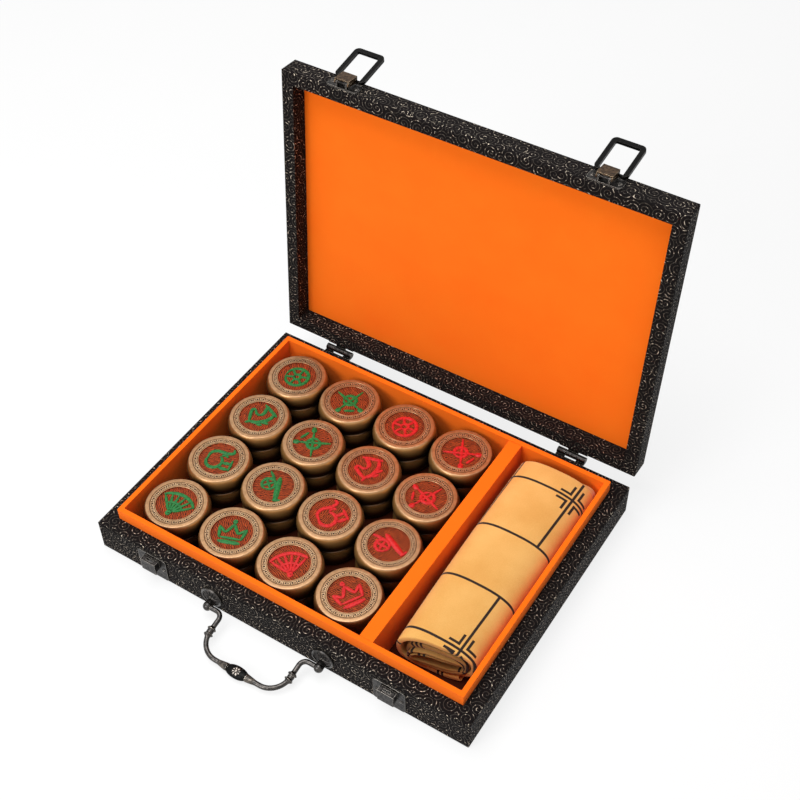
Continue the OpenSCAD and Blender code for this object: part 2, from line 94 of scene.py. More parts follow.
# Playing pieces
PIECE_H = 12.2
PIECE_R = 20.0
FACE_R = 18.3
BAND_R = 15.9
RING_R = 13.0
MEDAL_R = 12.3
BAND_SINK = 0.3
MEDAL_SINK = 0.9
FOOT_SINK = 0.8
BODY_SLOT, BAND_SLOT, MEDAL_SLOT, MARK_SLOT, FRET_SLOT = range(5)

# Rolled board: the spiral of the part's source, and the grid printed on the flat sheet
ROLL_W = 49.0
ROLL_H = 28.4
ROLL_CORE = 4.0
ROLL_TURNS = 4.5
ROLL_START = 300.0
ROLL_BULGE = 0.77
SHEET_T = 0.55
SQUARE = 40.9
FILE_MARGIN = 15.7
RANK_MARGIN = 19.6
FILE_SQUARES = 8
RANK_SQUARES = 9
SHEET_W = RANK_SQUARES * SQUARE + 2 * RANK_MARGIN
SHEET_L = FILE_SQUARES * SQUARE + 2 * FILE_MARGIN


def srgb(red, green, blue):
    """A colour given as 0 to 255 on a screen, as the linear colour that a shader takes."""
    def linear(value):
        share = value / 255
        return share / 12.92 if share <= 0.04045 else ((share + 0.055) / 1.055) ** 2.4
    return (linear(red), linear(green), linear(blue), 1.0)


class Paint:
    """A material's node tree, with short calls for the nodes that it needs."""

    def __init__(self, name):
        self.material = bpy.data.materials.new(name)
        self.material.use_nodes = True
        self.tree = self.material.node_tree
        self.shader = self.tree.nodes["Principled BSDF"]

    def feed(self, socket, value):
        """Links a socket, or sets its plain value."""
        if isinstance(value, bpy.types.NodeSocket):
            self.tree.links.new(value, socket)
        else:
            socket.default_value = value

    def node(self, kind, inputs=None, **settings):
        made = self.tree.nodes.new("ShaderNode" + kind)
        for key, value in settings.items():
            setattr(made, key, value)
        for key, value in (inputs or {}).items():
            self.feed(made.inputs[key], value)
        return made

    def set(self, **inputs):
        """Sets the shader's own sockets, named with _ for a space."""
        for key, value in inputs.items():
            self.feed(self.shader.inputs[key.replace("_", " ")], value)

    def math(self, operation, *values):
        made = self.node("Math", operation=operation)
        for socket, value in zip(made.inputs, values):
            self.feed(socket, value)
        return made.outputs[0]

    def times(self, *values):
        product = values[0]
        for value in values[1:]:
            product = self.math("MULTIPLY", product, value)
        return product

    def split(self, vector):
        return self.node("SeparateXYZ", {"Vector": vector}).outputs

    def mix(self, share, low, high):
        """A colour between two."""
        made = self.node("Mix", data_type="RGBA")
        for index, value in ((0, share), (6, low), (7, high)):
            self.feed(made.inputs[index], value)
        return made.outputs[2]

    def pick(self, share, low, high):
        """A number between two."""
        made = self.node("Mix", data_type="FLOAT")
        for index, value in ((0, share), (2, low), (3, high)):
            self.feed(made.inputs[index], value)
        return made.outputs[0]

    def span(self, value, start, end, low=0.0, high=1.0):
        """A smooth step from low at start to high at end."""
        made = self.node("MapRange", {"Value": value}, interpolation_type="SMOOTHSTEP")
        for key, number in (("From Min", start), ("From Max", end), ("To Min", low), ("To Max", high)):
            self.feed(made.inputs[key], number)
        return made.outputs[0]

    def place(self):
        """The piece's own coordinates, in metres."""
        return self.node("TexCoord").outputs["Object"]

    def noise(self, size_mm, detail=2.0):
        scale = 1 / (size_mm * MM)
        made = self.node("TexNoise", {"Vector": self.place(), "Scale": scale, "Detail": detail})
        return made.outputs["Fac"]

    def bump(self, height, depth_mm, strength=1.0):
        made = self.node("Bump", {"Height": height, "Distance": depth_mm * MM, "Strength": strength})
        self.set(Normal=made.outputs["Normal"])


# Materials

def brocade(name, tilt):
    """Black cloth woven with fine silver-gold scrolls.

    The tilt turns an open lid's faces back to the axes.
    """
    cell_mm, scatter, coil = 7.6, 0.8, 0.26
    thread_core, thread_edge = 0.05, 0.13
    steep = 0.7
    paint = Paint(name)
    coords = paint.node("TexCoord")

    def level(socket):
        return paint.node("Mapping", {"Vector": socket, "Rotation": (tilt, 0, 0)}).outputs[0]

    x, y, z = paint.split(level(coords.outputs["Object"]))
    facing = paint.split(level(coords.outputs["Normal"]))
    on_end = paint.math("GREATER_THAN", paint.math("ABSOLUTE", facing[0]), steep)
    on_top = paint.math("GREATER_THAN", paint.math("ABSOLUTE", facing[2]), steep)
    per_cell = 1 / (cell_mm * MM)
    flat = paint.node("CombineXYZ", {
        "X": paint.times(paint.pick(on_end, x, y), per_cell),
        "Y": paint.times(paint.pick(on_top, z, y), per_cell),
    }).outputs[0]
    cells = paint.node("TexVoronoi", {"Vector": flat, "Scale": 1.0, "Randomness": scatter},
                       voronoi_dimensions="2D")
    centre = cells.outputs["Position"]
    toward = paint.node("VectorMath", {0: flat, 1: centre}, operation="SUBTRACT").outputs[0]
    across, up, _ = paint.split(toward)
    turn = paint.times(paint.math("ARCTAN2", up, across), 1 / TAU)
    luck = paint.node("SeparateColor", {"Color": cells.outputs["Color"]}).outputs
    hand = paint.math("SIGN", paint.math("SUBTRACT", luck[0], 0.5))
    wound = paint.math("DIVIDE", cells.outputs["Distance"], coil)
    phase = paint.math("ADD", paint.math("ADD", wound, paint.times(turn, hand)), luck[1])
    thread = paint.span(paint.math("PINGPONG", phase, 0.5), thread_core, thread_edge, 1.0, 0.0)
    glint = paint.span(paint.noise(1.5, 3.0), 0.53, 0.68, 0.05, 1.0)
    shine = paint.times(thread, glint)
    ground = paint.mix(paint.noise(0.8), srgb(7, 5, 5), srgb(21, 17, 17))
    paint.set(Base_Color=paint.mix(shine, ground, srgb(216, 200, 180)), Specular_IOR_Level=0.1)
    paint.set(Roughness=paint.pick(thread, 0.85, 0.45), Metallic=paint.times(shine, 0.4))
    paint.bump(thread, 0.12, 0.6)
    return paint.material


def lining(name, deep, light):
    """Matt orange suede paper with a short nap."""
    paint = Paint(name)
    broad = paint.noise(30.0, 3.0)
    fine = paint.noise(0.35, 2.0)
    tone = paint.math("ADD", paint.times(broad, 0.6), paint.times(fine, 0.4))
    paint.set(Base_Color=paint.mix(tone, deep, light), Roughness=0.9, Sheen_Weight=0.05)
    paint.set(Sheen_Roughness=0.5, Specular_IOR_Level=0.12)
    paint.bump(fine, 0.06, 0.5)
    return paint.material


def worn_metal(name, dark, mid, bright, rough, lacquer=0.0):
    """Old metal: a mottled dark coat under some clear lacquer, its edges worn bright and lightened as a
    painted edge highlight.
    """
    edge_mm, rough_step = 0.35, 0.1
    paint = Paint(name)
    soft = paint.node("Bevel", {"Radius": edge_mm * MM}, samples=6).outputs["Normal"]
    straight = paint.node("NewGeometry").outputs["Normal"]
    level = paint.node("VectorMath", {0: soft, 1: straight}, operation="DOT_PRODUCT").outputs["Value"]
    edge = paint.span(level, 0.995, 0.86)
    mottle = paint.span(paint.noise(1.6, 4.0), 0.35, 0.65)
    coat = paint.mix(mottle, dark, mid)
    # Bright edges: partly worn metal, partly a painted edge highlight.
    worn_and_highlit = paint.times(edge, paint.span(paint.noise(0.7, 3.0), 0.25, 0.55, 0.55, 1.0))
    paint.set(Base_Color=paint.mix(worn_and_highlit, coat, bright), Metallic=0.9)
    coat_rough = paint.pick(mottle, rough + rough_step, rough)
    paint.set(Roughness=paint.pick(worn_and_highlit, coat_rough, rough - rough_step))
    paint.set(Coat_Weight=lacquer, Coat_Roughness=0.16)
    paint.bump(paint.noise(0.5, 3.0), 0.04, 0.4)
    return paint.material


def antique_brass(name, deep, light):
    """Brass with painted shade: it darkens down the side and wherever another piece lies close."""
    close_mm = 15
    paint = Paint(name)
    height = paint.times(paint.split(paint.place())[2], 1 / (PIECE_H * MM))
    mottle = paint.noise(2.2, 4.0)
    # Painted shade: the side's colour darkens towards the foot, where less light reaches it.
    side = paint.mix(paint.span(height, 0.25, 1.0), srgb(22, 10, 4), srgb(186, 138, 80))
    face = paint.mix(paint.span(mottle, 0.3, 0.7), deep, light)
    clean = paint.mix(paint.span(height, 0.93, 0.99), side, face)
    # Painted shade: the brass goes near-black wherever another surface lies within close_mm, found by
    # ambient occlusion.
    open_share = paint.node("AmbientOcclusion", {"Distance": close_mm * MM}, samples=8).outputs["AO"]
    painted_shade = paint.span(open_share, 0.25, 0.8, 0.95, 0.0)
    paint.set(Base_Color=paint.mix(painted_shade, clean, srgb(15, 7, 3)), Metallic=0.65)
    paint.set(Roughness=paint.span(mottle, 0.3, 0.7, 0.3, 0.36))
    paint.set(Coat_Weight=0.35, Coat_Roughness=0.2)
    paint.bump(paint.noise(0.4, 3.0), 0.02, 0.15)
    return paint.material


def dark_band():
    """The sunk ground of a face's border, with a dark tarnish."""
    paint = Paint("border_tarnish")
    mottle = paint.noise(0.9, 3.0)
    paint.set(Base_Color=paint.mix(mottle, srgb(20, 11, 6), srgb(62, 38, 23)), Roughness=0.7)
    paint.set(Specular_IOR_Level=0.2)
    paint.bump(mottle, 0.05, 0.5)
    return paint.material


def medallion():
    """Red-brown enamel over a finely hatched ground."""
    hatch_mm, lean, waver = 1.25, 0.6, 2.4
    paint = Paint("red_brown_enamel")
    x, y, _ = paint.split(paint.place())
    slant = paint.times(paint.math("ADD", x, paint.times(y, lean)), 1 / (hatch_mm * MM))
    wavy = paint.math("ADD", slant, paint.times(paint.noise(2.5), waver))
    hatch = paint.span(paint.math("PINGPONG", wavy, 0.5), 0.08, 0.3)
    tone = paint.times(hatch, paint.span(paint.noise(3.0, 3.0), 0.2, 0.7, 0.5, 1.0))
    paint.set(Base_Color=paint.mix(tone, srgb(38, 11, 4), srgb(172, 72, 32)))
    paint.set(Metallic=0.1, Roughness=0.6, Specular_IOR_Level=0.15)
    paint.bump(hatch, 0.08, 0.7)
    return paint.material


def mark_paint(name, deep, light):
    """Lacquer on a raised mark, a little worn through."""
    paint = Paint(name)
    mottle = paint.noise(1.3, 3.0)
    paint.set(Base_Color=paint.mix(paint.span(mottle, 0.3, 0.65), deep, light), Roughness=0.45)
    paint.set(Specular_IOR_Level=0.3)
    paint.bump(paint.noise(0.6, 2.0), 0.04, 0.5)
    return paint.material


def board_suede():
    """Tan suede with the game's printed grid: its river bare, its starting places marked."""
    line_half, line_blur, edge = 0.8, 0.15, 0.02
    arm_off, arm_end = 2.9, 9.5
    shade_start, shade_end, shade = 112, 140, 0.5
    paint = Paint("printed_suede")
    along, over, _ = paint.split(paint.node("UVMap").outputs["UV"])
    file_place = paint.times(paint.math("SUBTRACT", along, FILE_MARGIN), 1 / SQUARE)
    rank_place = paint.times(paint.math("SUBTRACT", over, RANK_MARGIN), 1 / SQUARE)
    file_no = paint.math("ROUND", file_place)
    rank_no = paint.math("ROUND", rank_place)

    def away(value, number):
        return paint.math("ABSOLUTE", paint.math("SUBTRACT", value, number))

    def within(value, low, high):
        above = paint.math("GREATER_THAN", value, low)
        return paint.times(above, paint.math("LESS_THAN", value, high))

    def near(value, half):
        return paint.span(value, half - line_blur, half + line_blur, 1.0, 0.0)

    def any_of(*values):
        most = values[0]
        for value in values[1:]:
            most = paint.math("MAXIMUM", most, value)
        return most

    file_off = paint.times(away(file_place, file_no), SQUARE)
    rank_off = paint.times(away(rank_place, rank_no), SQUARE)
    across_board = within(file_place, -edge, FILE_SQUARES + edge)
    on_board = paint.times(across_board, within(rank_place, -edge, RANK_SQUARES + edge))
    river = paint.times(within(rank_place, 4, 5), within(file_no, 0.5, 7.5))
    rank_line = near(rank_off, line_half)
    file_line = paint.times(near(file_off, line_half), paint.math("SUBTRACT", 1.0, river))
    arm_up = paint.times(near(away(file_off, arm_off), line_half),
                         within(rank_off, arm_off - line_half, arm_end))
    arm_across = paint.times(near(away(rank_off, arm_off), line_half),
                             within(file_off, arm_off - line_half, arm_end))
    from_middle = away(rank_no, 4.5)
    even_file = paint.math("LESS_THAN", paint.math("PINGPONG", file_no, 1.0), 0.5)
    soldier_place = paint.times(within(from_middle, 1.4, 1.6), even_file)
    side_file = within(away(file_no, 4.0), 2.9, 3.1)
    cannon_place = paint.times(within(from_middle, 2.4, 2.6), side_file)
    marks = paint.times(any_of(arm_up, arm_across), any_of(soldier_place, cannon_place))
    ink = paint.times(on_board, any_of(rank_line, file_line, marks))
    nap = paint.noise(0.5, 3.0)
    cloud = paint.noise(22.0, 3.0)
    tone = paint.math("ADD", paint.times(cloud, 0.6), paint.times(nap, 0.4))
    plain = paint.mix(paint.span(tone, 0.3, 0.7), srgb(218, 160, 80), srgb(232, 181, 103))
    shaded = paint.span(along, shade_start, shade_end, 0.0, shade)
    suede = paint.mix(shaded, plain, srgb(72, 38, 16))
    paint.set(Base_Color=paint.mix(ink, suede, srgb(30, 17, 12)), Roughness=0.85)
    paint.set(Sheen_Weight=0.15, Specular_IOR_Level=0.3)
    paint.bump(nap, 0.05, 0.4)
    return paint.material


BROCADE = brocade("brocade", 0.0)
BROCADE_LID = brocade("brocade_lid", LID_OPEN)
LINING = lining("orange_lining", srgb(255, 104, 8), srgb(255, 124, 22))
# Painted shade: the tray's floor is lined like its walls, but is coloured near-black brown for the deep
# shade inside the tray.
SHADED_TRAY_FLOOR = lining("floor_lining", srgb(52, 16, 3), srgb(72, 25, 4))
BRONZE = worn_metal("gunmetal", srgb(22, 20, 19), srgb(56, 52, 50), srgb(190, 182, 172), 0.36, 0.1)
LEVER = worn_metal("lever_brass", srgb(52, 39, 29), srgb(92, 71, 51), srgb(220, 200, 168), 0.4)
LOOP = worn_metal("loop_wire", srgb(8, 8, 8), srgb(20, 19, 18), srgb(74, 70, 67), 0.36)
HANDLE = worn_metal("handle_bronze", srgb(26, 24, 23), srgb(70, 65, 61), srgb(226, 214, 196), 0.24, 0.5)
FLOWER = worn_metal("flower_silver", srgb(112, 105, 98), srgb(186, 176, 164), srgb(244, 236, 222), 0.3, 0.5)
# Painted highlight: the cups are the handle's metal made lighter, where they catch the light.
CUP = worn_metal("cup_painted_highlight", srgb(44, 40, 36), srgb(104, 95, 85), srgb(240, 226, 204), 0.24, 0.5)
BRASS = antique_brass("antique_brass", srgb(162, 122, 82), srgb(178, 137, 96))
KEY_BRASS = antique_brass("polished_brass", srgb(226, 178, 130), srgb(242, 202, 156))
BAND = dark_band()
ENAMEL = medallion()
PAINTS = {
    "green": mark_paint("green_lacquer", srgb(10, 88, 36), srgb(30, 120, 54)),
    "red": mark_paint("red_lacquer", srgb(180, 14, 20), srgb(212, 32, 34)),
}
SUEDE = board_suede()


# Shapes

class Shape:
    """Points and faces of one piece, with a material number for each face."""

    def __init__(self):
        self.points = []
        self.faces = []
        self.slots = []

    def add(self, points, faces, slot=0):
        base = len(self.points)
        self.points.extend(Vector(point) for point in points)
        self.faces.extend([base + i for i in face] for face in faces)
        self.slots.extend([slot] * len(faces))

    def slab(self, top, bottom, slot=0):
        """A closed solid between two grids of the same size."""
        rows, columns = len(top), len(top[0])
        points = [point for grid in (top, bottom) for row in grid for point in row]

        def at(level, row, column):
            return (level * rows + row) * columns + column

        faces = []
        for i in range(rows - 1):
            for j in range(columns - 1):
                faces.append([at(0, i, j), at(0, i, j + 1), at(0, i + 1, j + 1), at(0, i + 1, j)])
                faces.append([at(1, i, j), at(1, i + 1, j), at(1, i + 1, j + 1), at(1, i, j + 1)])
        for i in range(rows - 1):
            for j in (0, columns - 1):
                faces.append([at(0, i, j), at(0, i + 1, j), at(1, i + 1, j), at(1, i, j)])
        for j in range(columns - 1):
            for i in (0, rows - 1):
                faces.append([at(0, i, j), at(1, i, j), at(1, i, j + 1), at(0, i, j + 1)])
        self.add(points, faces, slot)

    def tube(self, rings, slot=0, slot_of=None):
        """A closed tube through rings of points, with one slot or a slot for each step along it."""
        sides = len(rings[0])
        points = [point for ring in rings for point in ring]
        faces = []
        for i in range(len(rings) - 1):
            for j in range(sides):
                k = (j + 1) % sides
                faces.append([i * sides + j, i * sides + k, (i + 1) * sides + k, (i + 1) * sides + j])
        faces.append(list(range(sides)))
        faces.append([(len(rings) - 1) * sides + j for j in range(sides)])
        self.add(points, faces, slot)
        if slot_of:
            steps = [slot_of(i) for i in range(len(rings) - 1) for _ in range(sides)]
            self.slots[-len(faces):-2] = steps

    def lathe(self, profile, sides, slot_of=None):
        """A closed body turned about Z from (radius, height) points, the first and last on the axis."""
        rings = profile[1:-1]
        turns = [TAU * j / sides for j in range(sides)]
        points = [(r * math.cos(a), r * math.sin(a), z) for r, z in rings for a in turns]
        low, high = len(points), len(points) + 1
        points.extend([(0, 0, profile[0][1]), (0, 0, profile[-1][1])])
        for i in range(-1, len(rings)):
            faces = []
            for j in range(sides):
                k = (j + 1) % sides
                if i < 0:
                    faces.append([low, k, j])
                elif i == len(rings) - 1:
                    faces.append([i * sides + j, i * sides + k, high])
                else:
                    faces.append([i * sides + j, i * sides + k, (i + 1) * sides + k, (i + 1) * sides + j])
            self.faces.extend([len(self.points) + n for n in face] for face in faces)
            self.slots.extend([slot_of(i + 1) if slot_of else 0] * len(faces))
        self.points.extend(Vector(point) for point in points)

    def moved(self, matrix):
        """This shape again, carried by a matrix."""
        copy = Shape()
        copy.points = [matrix @ point for point in self.points]
        copy.faces, copy.slots = self.faces, self.slots
        return copy

    def join(self, other):
        base = len(self.points)
        self.points.extend(other.points)
        self.faces.extend([base + i for i in face] for face in other.faces)
        self.slots.extend(other.slots)

    def mesh(self, name, materials, sharp=35):
        """A mesh in metres, smooth but for its sharp edges."""
        made = bpy.data.meshes.new(name)
        made.from_pydata([point * MM for point in self.points], [], self.faces)
        for material in materials:
            made.materials.append(material)
        made.polygons.foreach_set("material_index", self.slots)
        work = bmesh.new()
        work.from_mesh(made)
        bmesh.ops.recalc_face_normals(work, faces=work.faces)
        work.to_mesh(made)
        work.free()
        made.shade_smooth()
        made.set_sharp_from_angle(angle=math.radians(sharp))
        return made


def piece(name, mesh, body, matrix=None, stands_for=()):
    """Puts a mesh into the scene, riding on a body and standing for the named nodes."""
    made = bpy.data.objects.new(name, mesh)
    bpy.context.scene.collection.objects.link(made)
    if matrix is not None:
        made.matrix_world = matrix
    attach(made, body)
    if stands_for:
        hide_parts(*stands_for)
    return made


def placed(x, y, z, turn=0.0, axis="Z"):
    """A place in millimetres, with a turn about one axis."""
    return Matrix.Translation(Vector((x, y, z)) * MM) @ Matrix.Rotation(turn, 4, axis)


def curve_through(points, steps):
    """Points of a smooth curve through the given ones."""
    ends = [points[0], *points, points[-1]]
    made = []
    for i in range(len(points) - 1):
        a, b, c, d = (Vector(p) for p in ends[i:i + 4])
        bend = 2 * a - 5 * b + 4 * c - d
        twist = 3 * b - a - 3 * c + d
        for k in range(steps):
            t = k / steps
            made.append(0.5 * (2 * b + (c - a) * t + bend * t * t + twist * t ** 3))
    made.append(Vector(points[-1]))
    return made


# Playing pieces

def arc(x, y, r, start, end, steps=18):
    angles = [math.radians(start + (end - start) * i / steps) for i in range(steps + 1)]
    return [(x + r * math.cos(a), y + r * math.sin(a)) for a in angles]


def ray(x, y, angle, near, far):
    a = math.radians(angle)
    return [(x + r * math.cos(a), y + r * math.sin(a)) for r in (near, far)]


# Plain picture marks, as strokes of points and a width, in shares of the medallion's radius
MARKS = {
    "chariot": [
        (arc(0, 0, 0.68, 0, 360), 0.2),
        (arc(0, 0, 0.2, 0, 360), 0.17),
        *((ray(0, 0, angle, 0.2, 0.66), 0.15) for angle in range(15, 375, 60)),
    ],
    "horse": [
        ([(-0.42, -0.78), (-0.5, -0.25), (-0.3, 0.3), (0.08, 0.62)], 0.24),
        ([(0.08, 0.62), (0.42, 0.34), (0.72, 0.0), (0.6, -0.16)], 0.2),
        ([(0.6, -0.16), (0.3, -0.02), (0.05, -0.12)], 0.15),
        ([(0.05, -0.12), (0.08, -0.42), (0.36, -0.78)], 0.22),
        ([(0.02, 0.55), (0.14, 0.88)], 0.16),
        ([(-0.62, -0.8), (0.56, -0.8)], 0.2),
        ([(-0.36, 0.44), (-0.66, 0.22)], 0.13),
        ([(-0.5, 0.1), (-0.78, -0.14)], 0.13),
    ],
    "elephant": [
        (arc(-0.2, 0.22, 0.46, 60, 330), 0.2),
        ([(-0.05, 0.66), (0.35, 0.6), (0.55, 0.25), (0.5, -0.3), (0.62, -0.66), (0.84, -0.6)], 0.2),
        ([(0.28, -0.06), (0.34, -0.3), (0.22, -0.46)], 0.12),
        ([(-0.58, -0.2), (-0.6, -0.74)], 0.2),
        ([(-0.2, -0.3), (-0.18, -0.74)], 0.2),
        ([(-0.7, -0.8), (0.1, -0.8)], 0.14),
    ],
    "cannon": [
        ([(-0.72, 0.02), (0.1, 0.3), (0.8, 0.56)], 0.3),
        (arc(-0.05, -0.34, 0.38, 0, 360), 0.18),
        (ray(-0.05, -0.34, 45, -0.34, 0.34), 0.12),
        (ray(-0.05, -0.34, 135, -0.34, 0.34), 0.12),
        ([(-0.2, -0.02), (-0.62, -0.36), (-0.86, -0.66)], 0.16),
        ([(0.86, 0.42), (0.68, 0.82)], 0.16),
    ],
    "soldier": [
        ([(-0.72, -0.74), (0.6, 0.62)], 0.15),
        ([(0.72, -0.74), (-0.6, 0.62)], 0.15),
        ([(0.52, 0.56), (0.78, 0.82)], 0.28),
        ([(-0.52, 0.56), (-0.78, 0.82)], 0.28),
        (arc(0, -0.08, 0.36, 0, 360), 0.2),
        ([(-0.3, 0.74), (0.3, 0.74)], 0.14),
    ],
    "advisor": [
        *((ray(0, -0.72, angle, 0.18, 1.3), 0.14) for angle in range(45, 150, 18)),
        (arc(0, -0.72, 1.36, 42, 138), 0.2),
        (arc(0, -0.72, 0.72, 44, 136), 0.13),
        (arc(0, -0.72, 0.1, 0, 360), 0.16),
    ],
    "general": [
        ([(-0.62, -0.62), (0.62, -0.62)], 0.24),
        ([(-0.58, -0.36), (0.58, -0.36)], 0.13),
        ([(-0.6, -0.4), (-0.76, 0.34)], 0.18),
        ([(-0.76, 0.34), (-0.34, -0.04)], 0.17),
        ([(-0.34, -0.04), (0, 0.6)], 0.18),
        ([(0, 0.6), (0.34, -0.04)], 0.18),
        ([(0.34, -0.04), (0.76, 0.34)], 0.17),
        ([(0.76, 0.34), (0.6, -0.4)], 0.18),
        (arc(0, 0.76, 0.07, 0, 360), 0.14),
    ],
}


def brush_stroke(shape, points, width, slot):
    """A raised stroke with a domed top, full in the middle and drawn in at its ends."""
    reach, rise, sunk, bold, least = 10.8, 0.66, 0.1, 1.1, 0.17
    end_share, belly_share, tip_share = 0.72, 0.28, 0.3
    across_shares = (-0.5, -0.36, 0, 0.36, 0.5)
    rise_shares = (0.25, 0.8, 1.0, 0.8, 0.25)
    floor = PIECE_H - MEDAL_SINK
    path = [point * reach for point in curve_through([(x, y, 0) for x, y in points], steps=4)]
    top, bottom = [], []
    for i, point in enumerate(path):
        along = (path[min(i + 1, len(path) - 1)] - path[max(i - 1, 0)]).normalized()
        side = Vector((-along.y, along.x, 0))
        place = 2 * i / (len(path) - 1) - 1
        belly = end_share + belly_share * (1 - place * place)
        tip = max(tip_share, 1 - place ** 10) ** 0.5
        full = max(bold * width, least) * reach * belly * tip
        line = [point + side * full * a for a in across_shares]
        top.append([p + Vector((0, 0, floor + rise * h)) for p, h in zip(line, rise_shares)])
        bottom.append([p + Vector((0, 0, floor - sunk)) for p in line])
    shape.slab(top, bottom, slot)


def key_fret(shape, slot):
    """A ring of raised square spirals round the border, each joined to the next."""
    units, half_w, low_r, high_r = 24, 0.125, 13.5, 15.0
    sunk, below_face = 0.1, 0.02
    bottom_z, top_z = PIECE_H - BAND_SINK - sunk, PIECE_H - below_face
    path_shares = [(1, 0), (0, 0), (0, 1), (0.76, 1), (0.76, 0.36), (0.36, 0.36), (0.36, 0.68)]
    step = TAU / units
    middle_r = (low_r + high_r) / 2
    flat = [Vector((u * step * middle_r, v * (high_r - low_r))) for u, v in path_shares]
    edges = []
    for i, point in enumerate(flat):
        before = (point - flat[max(i - 1, 0)]).normalized()
        after = (flat[min(i + 1, len(flat) - 1)] - point).normalized()
        sides = [Vector((-d.y, d.x)) for d in (before, after) if d.length > 0]
        mitre = sides[0] + sides[-1]
        mitre *= 2 * half_w / mitre.length_squared
        edges.append((point - mitre, point + mitre))

    def bent(point, unit, z):
        a = unit * step + point.x / middle_r
        r = low_r + point.y
        return (r * math.cos(a), r * math.sin(a), z)

    for unit in range(units):
        top = [[bent(p, unit, top_z) for p in pair] for pair in edges]
        bottom = [[bent(p, unit, bottom_z) for p in pair] for pair in edges]
        shape.slab(top, bottom, slot)


def piece_body(shape, sides):
    """The turned body: hollow foot, swelled side, round rim, sunk border with two rings, sunk medallion."""
    swell = PIECE_R - FACE_R
    arc_r = (PIECE_H ** 2 / 4 + swell ** 2) / (2 * swell)
    ease, round_r, rim_in = 0.12, 0.5, 0.35
    foot_r, foot_in, foot_out = RING_R, 0.4, 0.1
    ring_out, ring_in = BAND_R - 0.3, BAND_R - 0.62
    side_steps, rim_steps = 14, 4
    band_z = PIECE_H - BAND_SINK
    medal_z = PIECE_H - MEDAL_SINK
    profile = [(0, FOOT_SINK), (foot_r - ease, FOOT_SINK), (foot_r, FOOT_SINK - ease), (foot_r + ease, 0)]
    profile += [(FACE_R - foot_in, 0), (FACE_R - foot_out, ease)]
    for i in range(side_steps + 1):
        z = round_r + (PIECE_H - 2 * round_r) * i / side_steps
        profile.append((PIECE_R - arc_r + math.sqrt(arc_r ** 2 - (z - PIECE_H / 2) ** 2), z))
    for i in range(1, rim_steps + 1):
        a = math.radians(90 * i / rim_steps)
        rim_r = FACE_R - rim_in + round_r * math.cos(a)
        profile.append((rim_r, PIECE_H - round_r + round_r * math.sin(a)))
    profile += [(BAND_R + ease, PIECE_H), (BAND_R, PIECE_H - ease)]
    groove = len(profile) - 1
    profile += [(BAND_R - ease / 2, band_z), (ring_out + ease / 2, band_z)]
    profile += [(ring_out, PIECE_H - ease), (ring_in, PIECE_H - ease), (ring_in - ease / 2, band_z)]
    profile += [(RING_R + ease / 2, band_z), (RING_R, PIECE_H - ease), (RING_R - ease, PIECE_H)]
    profile += [(MEDAL_R + ease, PIECE_H), (MEDAL_R, PIECE_H - ease)]
    profile += [(MEDAL_R - ease, medal_z), (0, medal_z)]
    last = len(profile) - 2
    sunk_faces = {groove, groove + 1, groove + 2, groove + 4, groove + 5, groove + 6}

    def slot_of(face):
        if face >= last - 1:
            return MEDAL_SLOT
        return BAND_SLOT if face in sunk_faces else BODY_SLOT

    shape.lathe(profile, sides, slot_of)


def playing_piece_mesh(team, kind):
    """One kind's body, key fret and mark; the materials are in the order of the slots."""
    sides = 72
    shape = Shape()
    piece_body(shape, sides)
    key_fret(shape, FRET_SLOT)
    for points, width in MARKS[kind]:
        brush_stroke(shape, points, width, MARK_SLOT)
    return shape.mesh(f"{team}_{kind}", [BRASS, BAND, ENAMEL, PAINTS[team], KEY_BRASS])


def dress_playing_pieces():
    """Each piece in its place, turned unevenly so that no two marks line up."""
    uneven = math.radians(137.5)
    meshes = {}
    names = sorted(name for name in nodes if name.split("_")[0] in PAINTS)
    for number, name in enumerate(names):
        team, kind = name.split("_")[:2]
        if (team, kind) not in meshes:
            meshes[team, kind] = playing_piece_mesh(team, kind)
        low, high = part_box(name)
        place = Matrix.Translation(((low.x + high.x) / 2, (low.y + high.y) / 2, low.z))
        spot = place @ Matrix.Rotation(number * uneven, 4, "Z")
        piece(f"{name}_turned", meshes[team, kind], name, spot, [name])


# Rolled board

def spiral_sizes():
    """The spiral whose outer turn fills the roll: width, height, pitch, shift along X, sink along Z."""
    low, left, high, right = ((ROLL_START - angle) / 360 for angle in (270, 180, 90, 0))
    share = (low + high) / (2 * ROLL_TURNS)
    height = (ROLL_H - share * ROLL_CORE) / (1 - share)
    pitch = (height - ROLL_CORE) / 2 / ROLL_TURNS
    return ROLL_W + pitch * (left + right), height, pitch, pitch * (right - left) / 2, pitch * low


def eased(value, start, end):
    """A smooth step from 0 at start to 1 at end."""
    share = min(max((value - start) / (end - start), 0), 1)
    return share * share * (3 - 2 * share)


def fuller(value):
    """A sine or cosine, pushed outwards for the roll's full shoulders."""
    return math.copysign(abs(value) ** ROLL_BULGE, value)


